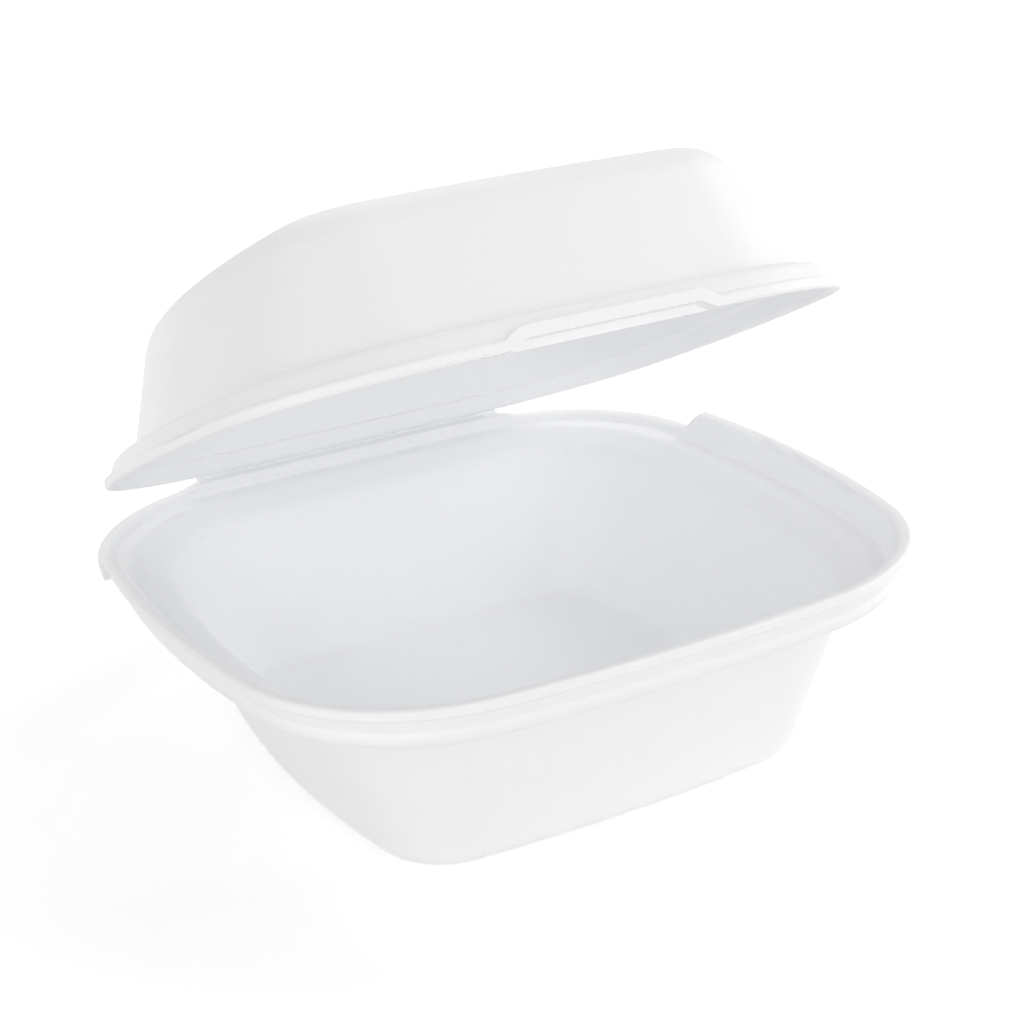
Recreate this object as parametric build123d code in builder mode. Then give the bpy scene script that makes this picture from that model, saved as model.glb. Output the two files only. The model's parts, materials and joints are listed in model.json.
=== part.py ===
from build123d import *
import os
from math import cos, radians, sin

# Foam clamshell container, thermoformed from one sheet: a deep tray and a domed lid,
# joined by a pressed crease along the middle of the back edge. Millimetres, +Z up.
# The origin is the centre of the tray's flat bottom, with the hinge at the back (+Y).

# The sheet
sheet = 2.2               # thickness of the foam
edge_round = 0.7          # rounding of the trimmed edge, on its upper side
edge_bevel = 0.4          # bevel on its lower side

# Rim of the tray, seen from above
half_width = 75.0         # centre to the middle of a side
half_depth = 77.3         # centre to the middle of the front, and to the back edge
side_bow_front = 13.0     # how far a side bows out over its front corner
side_bow_back = 9.5       # and over its back corner
front_bow = 5.0           # how far the front bows out between its corners
corner_radius = 40.0

# Plane where tray and lid part, over the tray's bottom
parting_height = 42.3

# Section of the tray's wall: distances in from the rim's edge, and heights
# below or above the parting plane
foot_inset = 25.8         # where the wall meets the floor
foot_radius = 4.6
wall_top_inset = 13.5     # top of the tapered wall
wall_top_drop = 7.5
wall_top_radius = 4.0
ledge_inset = 8.0         # inner edge of the ledge below the rim
ledge_drop = 4.2
ledge_radius = 2.6
groove_inset = 3.4        # snap groove between the ledge and the collar
groove_radius = 1.5
bead_inset = 3.6          # inward bead above the groove
bead_drop = 1.3
bead_radius = 1.4
collar_inset = 2.1        # top of the raised collar
collar_rise = 2.8
lip_radius = 1.3
low_collar_inset = 2.4    # the rim at the back corners, where it stays low
low_lip_drop = 2.3

# Ends of the raised collar, on both sides near the back
step_y = 36.0
step_lean = 38.0          # how far the ramp of its end leans, in degrees
ramp_radius = 110.0       # the ramp is slightly domed

# Crease along the middle of the back edge
crease_gap = 0.3          # between the tray and the lid
crease_half_length = 39.5
crease_ramp = 9.0         # over which the low rim climbs to the crease
crease_width = 3.4
open_angle = 22.5         # how far the lid stands open, in degrees

# Section of the lid: distances in from its edge, and heights over the parting plane
lid_clearance = 0.2       # between the lid's edge and the bead of the collar
skirt_root_inset = 2.0    # lip to skirt
skirt_top_inset = 4.0     # skirt to ledge
crown_foot_inset = 7.2    # groove where the crown's wall starts
crown_foot_rise = 5.2
lid_bend_radius = 1.6
crown_taper = 20.0        # how far the crown's wall leans in, in degrees
crown_corner = 28.0       # corners of the crown at its foot
crown_rise = 33.8         # to the outside of the crown
crown_radius = 8.0

# Thumb notch pressed up into the middle of the lid's front lip
notch_half_width = 20.0
notch_rise = 1.6
notch_slope = 30.0        # slope of its two ends, in degrees
notch_reach = 4.6         # from the lip's edge into the skirt
notch_bend = 1.8

# Worked out from the sizes above
half_sheet = sheet / 2
wall_top_height = parting_height - wall_top_drop
ledge_height = parting_height - ledge_drop
bead_height = parting_height - bead_drop
lip_height = parting_height + collar_rise
low_lip_height = parting_height - low_lip_drop
ledge_lap = 2.0                         # how far the lid's ledge laps into the crown
flat_reach = 10.0                       # how far the swept walls reach into the flat middle
flat_lap = 2.0                          # how far the flat middle laps over them
hinge_y = half_depth + crease_gap / 2
hinge_axis = Axis((0, hinge_y, parting_height), (1, 0, 0))
lid_inset = bead_inset + half_sheet + lid_clearance
lid_lip_rise = crease_gap / 2 + half_sheet


def rim_outline(width, front, back, corner):
    """Outline of a rim seen from above: straight at the back, bowed on its other sides."""
    front_x = width - side_bow_front
    back_x = width - side_bow_back
    corner_y = front + front_bow
    side_y = (back + corner_y) / 2
    with BuildSketch() as outline:
        with BuildLine():
            Line((back_x, back), (-back_x, back))
            ThreePointArc((-back_x, back), (-width, side_y), (-front_x, corner_y))
            ThreePointArc((-front_x, corner_y), (0, front), (front_x, corner_y))
            ThreePointArc((front_x, corner_y), (width, side_y), (back_x, back))
        make_face()
        fillet(outline.vertices(), corner)
    return outline.sketch


def drawn_in(outline, inset):
    """An outline drawn in by an inset."""
    with BuildSketch() as inner:
        with BuildLine():
            for edge in outline.wire().offset_2d(-inset).edges():
                if edge.geom_type == GeomType.LINE:
                    Line(edge @ 0, edge @ 1)
                else:
                    ThreePointArc(edge @ 0, edge @ 0.5, edge @ 1)
        make_face()
    return inner.sketch


def wall_section(plane, points, radii):
    """Section of the sheet along a bent middle line, with its trimmed edge softened."""
    with BuildSketch(plane) as section:
        with BuildLine():
            FilletPolyline(*points, radius=radii)
        trace(line_width=sheet)
        chamfer(section.vertices().group_by(Axis.X)[-1].sort_by(Axis.Y)[0], edge_bevel)
        fillet(section.vertices().group_by(Axis.X)[-1].sort_by(Axis.Y)[-1], edge_round)
    return section.sketch


# Tray
tray_outline = rim_outline(half_width, -half_depth, half_depth, corner_radius)
tray_side = Plane(origin=(0, half_depth, 0), x_dir=(0, 1, 0), z_dir=(1, 0, 0))

tray_wall = [
    (-foot_inset - flat_reach, half_sheet),
    (-foot_inset, half_sheet),
    (-wall_top_inset, wall_top_height),
    (-ledge_inset, ledge_height),
    (-groove_inset, ledge_height),
]
tray_wall_radii = [foot_radius, wall_top_radius, ledge_radius, groove_radius]
raised_rim = [(-bead_inset, bead_height), (-collar_inset, lip_height), (0, lip_height)]
raised_section = wall_section(
    tray_side, tray_wall + raised_rim, tray_wall_radii + [bead_radius, lip_radius]
)
low_rim = [(-low_collar_inset, low_lip_height), (0, low_lip_height)]
low_section = wall_section(tray_side, tray_wall + low_rim, tray_wall_radii + [lip_radius])

# The raised collar ends in a leaning ramp, part of a wide drum across the tray,
# and the low rim carries on behind it
ramp_lean = radians(step_lean)
with BuildPart() as ramp_drum:
    with Locations((0, step_y - ramp_radius * cos(ramp_lean), low_lip_height - ramp_radius * sin(ramp_lean))):
        Cylinder(ramp_radius, 3 * half_width, rotation=(0, 90, 0))

with BuildPart() as raised_wall:
    sweep(sections=raised_section, path=tray_outline.wire())
    add(ramp_drum.part, mode=Mode.INTERSECT)

with BuildPart() as low_wall:
    sweep(sections=low_section, path=tray_outline.wire())
    add(ramp_drum.part, mode=Mode.SUBTRACT)

# The low rim climbs to the crease along the middle of the back edge
crease_top = parting_height - crease_gap / 2
with BuildSketch(Plane.XZ.offset(crease_width - half_depth)) as crease_shape:
    with BuildLine():
        Polyline(
            (-crease_half_length, crease_top),
            (crease_half_length, crease_top),
            (crease_half_length + crease_ramp, low_lip_height),
            (-crease_half_length - crease_ramp, low_lip_height),
            close=True,
        )
    make_face()

with BuildPart() as crease_strip:
    extrude(crease_shape.sketch, amount=-crease_width)
    extrude(tray_outline, amount=parting_height, mode=Mode.INTERSECT)

with BuildPart() as tray:
    add(raised_wall.part)
    add(low_wall.part)
    add(crease_strip.part)
    extrude(drawn_in(tray_outline, foot_inset + flat_reach - flat_lap), amount=sheet)

# Lid, shaped closed on the tray
lid_outline = rim_outline(
    half_width - lid_inset, lid_inset - half_depth, half_depth, corner_radius
)
lid_side = Plane(origin=(0, half_depth, parting_height), x_dir=(0, 1, 0), z_dir=(1, 0, 0))
lid_wall = [
    (0, lid_lip_rise),
    (-skirt_root_inset, lid_lip_rise),
    (-skirt_top_inset, crown_foot_rise),
    (-crown_foot_inset - ledge_lap, crown_foot_rise),
]
lid_section = wall_section(lid_side, lid_wall, lid_bend_radius)

# The crown's corners are tighter than the lip's
crown_rim = rim_outline(
    half_width - lid_inset, lid_inset - half_depth, half_depth, crown_foot_inset + crown_corner
)
crown_outline = drawn_in(crown_rim, crown_foot_inset)
crown_bottom = parting_height + crown_foot_rise - half_sheet
crown_height = crown_rise - crown_foot_rise + half_sheet


def crown_body(outline, height, top_radius):
    """Solid of the crown with its rounded top edge."""
    with BuildPart() as body:
        with BuildSketch(Plane.XY.offset(crown_bottom)):
            add(outline)
        extrude(amount=height, taper=crown_taper)
        fillet(body.faces().sort_by(Axis.Z)[-1].edges(), top_radius)
    return body.part


# The sheet arches over the thumb notch, which is open below
lip_bottom = parting_height + crease_gap / 2
front_plane = Plane(origin=(0, -half_depth, lip_bottom), x_dir=(-1, 0, 0), z_dir=(0, 1, 0))


def notch_outline(grow):
    """Outline of the notch seen from the front, grown upward and sideways."""
    with BuildSketch(front_plane) as outline:
        Trapezoid(
            2 * (notch_half_width + grow / sin(radians(notch_slope))),
            notch_rise + grow,
            notch_slope,
            align=(Align.CENTER, Align.MIN),
        )
        fillet(outline.vertices().group_by(Axis.Y)[-1], notch_bend + grow)
    return outline.sketch


with BuildPart() as notch_arch:
    extrude(notch_outline(sheet), amount=lid_inset + notch_reach)
    extrude(lid_outline, amount=parting_height + crown_rise, mode=Mode.INTERSECT)

with BuildPart() as closed_lid:
    sweep(sections=lid_section, path=lid_outline.wire())
    add(crown_body(crown_outline, crown_height, crown_radius + half_sheet))
    add(notch_arch.part)
    extrude(notch_outline(0), amount=lid_inset + skirt_top_inset, mode=Mode.SUBTRACT)
    add(
        crown_body(
            drawn_in(crown_outline, sheet / cos(radians(crown_taper))),
            crown_height - sheet,
            crown_radius - half_sheet,
        ),
        mode=Mode.SUBTRACT,
    )

# The lid stands open on its hinge
with BuildPart() as lid:
    add(closed_lid.part.rotate(hinge_axis, -open_angle))

os.makedirs("parts", exist_ok=True)
tray.part.label = "tray"
export_step(tray.part, "parts/tray.step")
lid.part.label = "lid"
export_step(lid.part, "parts/lid.step")
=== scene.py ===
import json
from math import radians

import bpy
from mathutils import Matrix, Vector


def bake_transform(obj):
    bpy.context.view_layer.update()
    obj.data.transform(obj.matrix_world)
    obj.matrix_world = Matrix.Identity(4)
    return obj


# White foam clamshell, half open, on a pale floor in soft studio light
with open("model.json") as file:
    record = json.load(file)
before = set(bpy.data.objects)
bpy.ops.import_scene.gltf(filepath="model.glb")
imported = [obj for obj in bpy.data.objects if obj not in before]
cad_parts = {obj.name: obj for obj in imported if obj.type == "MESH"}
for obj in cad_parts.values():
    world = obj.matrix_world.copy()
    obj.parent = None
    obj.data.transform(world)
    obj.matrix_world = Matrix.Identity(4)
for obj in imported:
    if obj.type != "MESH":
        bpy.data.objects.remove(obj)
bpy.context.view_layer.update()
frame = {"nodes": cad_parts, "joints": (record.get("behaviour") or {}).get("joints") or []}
bpy.context.scene.view_settings.view_transform = "Standard"
print("frame loaded")


# Small helpers

def deselectAll():
    bpy.ops.object.select_all(action="DESELECT")


def newMaterial(name):
    material = bpy.data.materials.new(name)
    material.use_nodes = True
    return material, material.node_tree.nodes, material.node_tree.links


def dress(piece, material):
    piece.data.materials.clear()
    piece.data.materials.append(material)


def turnedTo(azimuth, elevation):
    turn = Matrix.Rotation(radians(azimuth), 3, "Z")
    tilt = Matrix.Rotation(radians(90 - elevation), 3, "X")
    return turn @ tilt


# Foam

foamLook = {
    "colour": (0.965, 0.967, 0.972, 1.0),
    "mottle": (0.953, 0.956, 0.963, 1.0),   # slightly denser patches of the sheet
    "mottleScale": 55.0,
    "mottleDetail": 4.0,
    "cellScale": 780.0,         # cells a little over a millimetre across
    "cellHeight": 0.00004,
    "roughness": (0.42, 0.56),  # follows the mottle
    "specular": 0.42,
}


def makeFoam(look):
    material, nodes, links = newMaterial("foam")
    shader = nodes["Principled BSDF"]
    place = nodes.new("ShaderNodeTexCoord")

    mottle = nodes.new("ShaderNodeTexNoise")
    mottle.inputs["Scale"].default_value = look["mottleScale"]
    mottle.inputs["Detail"].default_value = look["mottleDetail"]
    links.new(place.outputs["Object"], mottle.inputs["Vector"])
    tint = nodes.new("ShaderNodeMix")
    tint.data_type = "RGBA"
    tint.inputs[6].default_value = look["colour"]      # colour sockets of the mix
    tint.inputs[7].default_value = look["mottle"]
    links.new(mottle.outputs["Fac"], tint.inputs[0])
    links.new(tint.outputs[2], shader.inputs["Base Color"])

    gloss = nodes.new("ShaderNodeMapRange")
    gloss.inputs["To Min"].default_value = look["roughness"][0]
    gloss.inputs["To Max"].default_value = look["roughness"][1]
    links.new(mottle.outputs["Fac"], gloss.inputs["Value"])
    links.new(gloss.outputs["Result"], shader.inputs["Roughness"])

    cells = nodes.new("ShaderNodeTexVoronoi")
    cells.inputs["Scale"].default_value = look["cellScale"]
    links.new(place.outputs["Object"], cells.inputs["Vector"])
    bump = nodes.new("ShaderNodeBump")
    bump.inputs["Distance"].default_value = look["cellHeight"]
    links.new(cells.outputs["Distance"], bump.inputs["Height"])
    links.new(bump.outputs["Normal"], shader.inputs["Normal"])

    shader.inputs["Specular IOR Level"].default_value = look["specular"]
    return material


foam = makeFoam(foamLook)
for node in ("tray", "lid"):
    dress(frame["nodes"][node], foam)
print("foam material on tray and lid")


# Pressed crease

crease = {
    "radius": 0.0006,
    "halfLength": 0.0395,       # the straight middle of the back edge
    "segments": 24,
    "smoothAngle": 40.0,
}


def makeCrease(size):
    hinge = frame["joints"][0]["pos_m"]
    deselectAll()
    bpy.ops.mesh.primitive_cylinder_add(
        vertices=size["segments"], radius=size["radius"], depth=2 * size["halfLength"],
        location=hinge, rotation=(0, radians(90), 0))
    piece = bpy.context.object
    piece.name = "pressedCrease"
    bpy.ops.object.transform_apply(location=True, rotation=True, scale=True)
    bpy.ops.object.shade_smooth_by_angle(angle=radians(size["smoothAngle"]))
    dress(piece, foam)
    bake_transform(piece)


makeCrease(crease)
print("pressed crease made")


# Floor, light and camera

floorLook = {
    "size": 6.0,
    "drop": 0.0001,             # below the tray's flat bottom
    "colour": (0.9, 0.9, 0.9, 1.0),
    "roughness": 0.9,
    "lift": (0.33, 1.0),        # white shown on top of the lit floor, near and far
    "liftReach": (0.1, 0.45),
}


# 1 where the camera sees a place straight, mirrored or through glass
def seenStraight(nodes, links):
    ray = nodes.new("ShaderNodeLightPath")
    mirrored = nodes.new("ShaderNodeMath")
    mirrored.operation = "MAXIMUM"
    links.new(ray.outputs["Is Glossy Ray"], mirrored.inputs[0])
    links.new(ray.outputs["Is Transmission Ray"], mirrored.inputs[1])
    seen = nodes.new("ShaderNodeMath")
    seen.operation = "MAXIMUM"
    links.new(ray.outputs["Is Camera Ray"], seen.inputs[0])
    links.new(mirrored.outputs["Value"], seen.inputs[1])
    return seen.outputs["Value"]


def makeFloor(look):
    deselectAll()
    bpy.ops.mesh.primitive_plane_add(size=look["size"], location=(0, 0, -look["drop"]))
    floor = bpy.context.object
    floor.name = "floor"
    material, nodes, links = newMaterial("paleFloor")
    shader = nodes["Principled BSDF"]
    shader.inputs["Base Color"].default_value = look["colour"]
    shader.inputs["Roughness"].default_value = look["roughness"]
    shader.inputs["Specular IOR Level"].default_value = 0.0
    shader.inputs["Emission Color"].default_value = (1, 1, 1, 1)

    place = nodes.new("ShaderNodeTexCoord")
    away = nodes.new("ShaderNodeVectorMath")
    away.operation = "LENGTH"
    links.new(place.outputs["Object"], away.inputs[0])
    lift = nodes.new("ShaderNodeMapRange")
    lift.inputs["From Min"].default_value = look["liftReach"][0]
    lift.inputs["From Max"].default_value = look["liftReach"][1]
    lift.inputs["To Min"].default_value = look["lift"][0]
    lift.inputs["To Max"].default_value = look["lift"][1]
    links.new(away.outputs["Value"], lift.inputs["Value"])
    shown = nodes.new("ShaderNodeMath")
    shown.operation = "MULTIPLY"
    links.new(lift.outputs["Result"], shown.inputs[0])
    links.new(seenStraight(nodes, links), shown.inputs[1])
    links.new(shown.outputs["Value"], shader.inputs["Emission Strength"])
    dress(floor, material)


studio = {
    "worldStrength": 0.31,
    "bounces": 12,              # white foam passes light on between its walls
    "aim": (0, 0, 0.05),
    "distance": 1.3,
    "size": 1.2,
    "lamps": {                  # degrees round from the front, degrees up, power
        "frontLight": (5, 16, 4.2),
        "cameraLight": (-28, 10, 2.6),
        "leftLight": (-80, 20, 4.6),
        "rightLight": (80, 25, 7.8),
        "backLight": (170, 45, 4.5),
    },
}


def makeWorld(strength):
    world = bpy.data.worlds.new("studio")
    bpy.context.scene.world = world
    world.use_nodes = True
    nodes = world.node_tree.nodes
    links = world.node_tree.links
    background = nodes["Background"]
    background.inputs["Color"].default_value = (1, 1, 1, 1)
    level = nodes.new("ShaderNodeMapRange")
    level.inputs["To Min"].default_value = strength
    level.inputs["To Max"].default_value = 1.0
    links.new(seenStraight(nodes, links), level.inputs["Value"])
    links.new(level.outputs["Result"], background.inputs["Strength"])


def makeLamp(name, lamp):
    azimuth, elevation, power = lamp
    facing = turnedTo(azimuth, elevation)
    deselectAll()
    bpy.ops.object.light_add(
        type="AREA", rotation=facing.to_euler(),
        location=Vector(studio["aim"]) + facing @ Vector((0, 0, studio["distance"])))
    light = bpy.context.object
    light.name = name
    light.data.shape = "DISK"
    light.data.size = studio["size"]
    light.data.energy = power


view = {
    "azimuth": -25.21,
    "elevation": 20.71,
    "roll": -4.96,
    "distance": 0.3936,
    "across": 0.00497,          # how far the camera looks right of the tray's foot
    "above": 0.04421,
    "focalLength": 63.56,
    "sensorWidth": 36.0,
    "clipStart": 0.01,
}


def makeCamera(view):
    level = turnedTo(view["azimuth"], view["elevation"])
    place = level @ Vector((view["across"], view["above"], view["distance"]))
    facing = level @ Matrix.Rotation(radians(view["roll"]), 3, "Z")
    deselectAll()
    bpy.ops.object.camera_add(location=place, rotation=facing.to_euler())
    camera = bpy.context.object
    camera.data.lens = view["focalLength"]
    camera.data.sensor_width = view["sensorWidth"]
    camera.data.clip_start = view["clipStart"]
    bpy.context.scene.camera = camera


makeFloor(floorLook)
makeWorld(studio["worldStrength"])
bpy.context.scene.cycles.diffuse_bounces = studio["bounces"]
for name, lamp in studio["lamps"].items():
    makeLamp(name, lamp)
makeCamera(view)
print("floor, light and camera set")
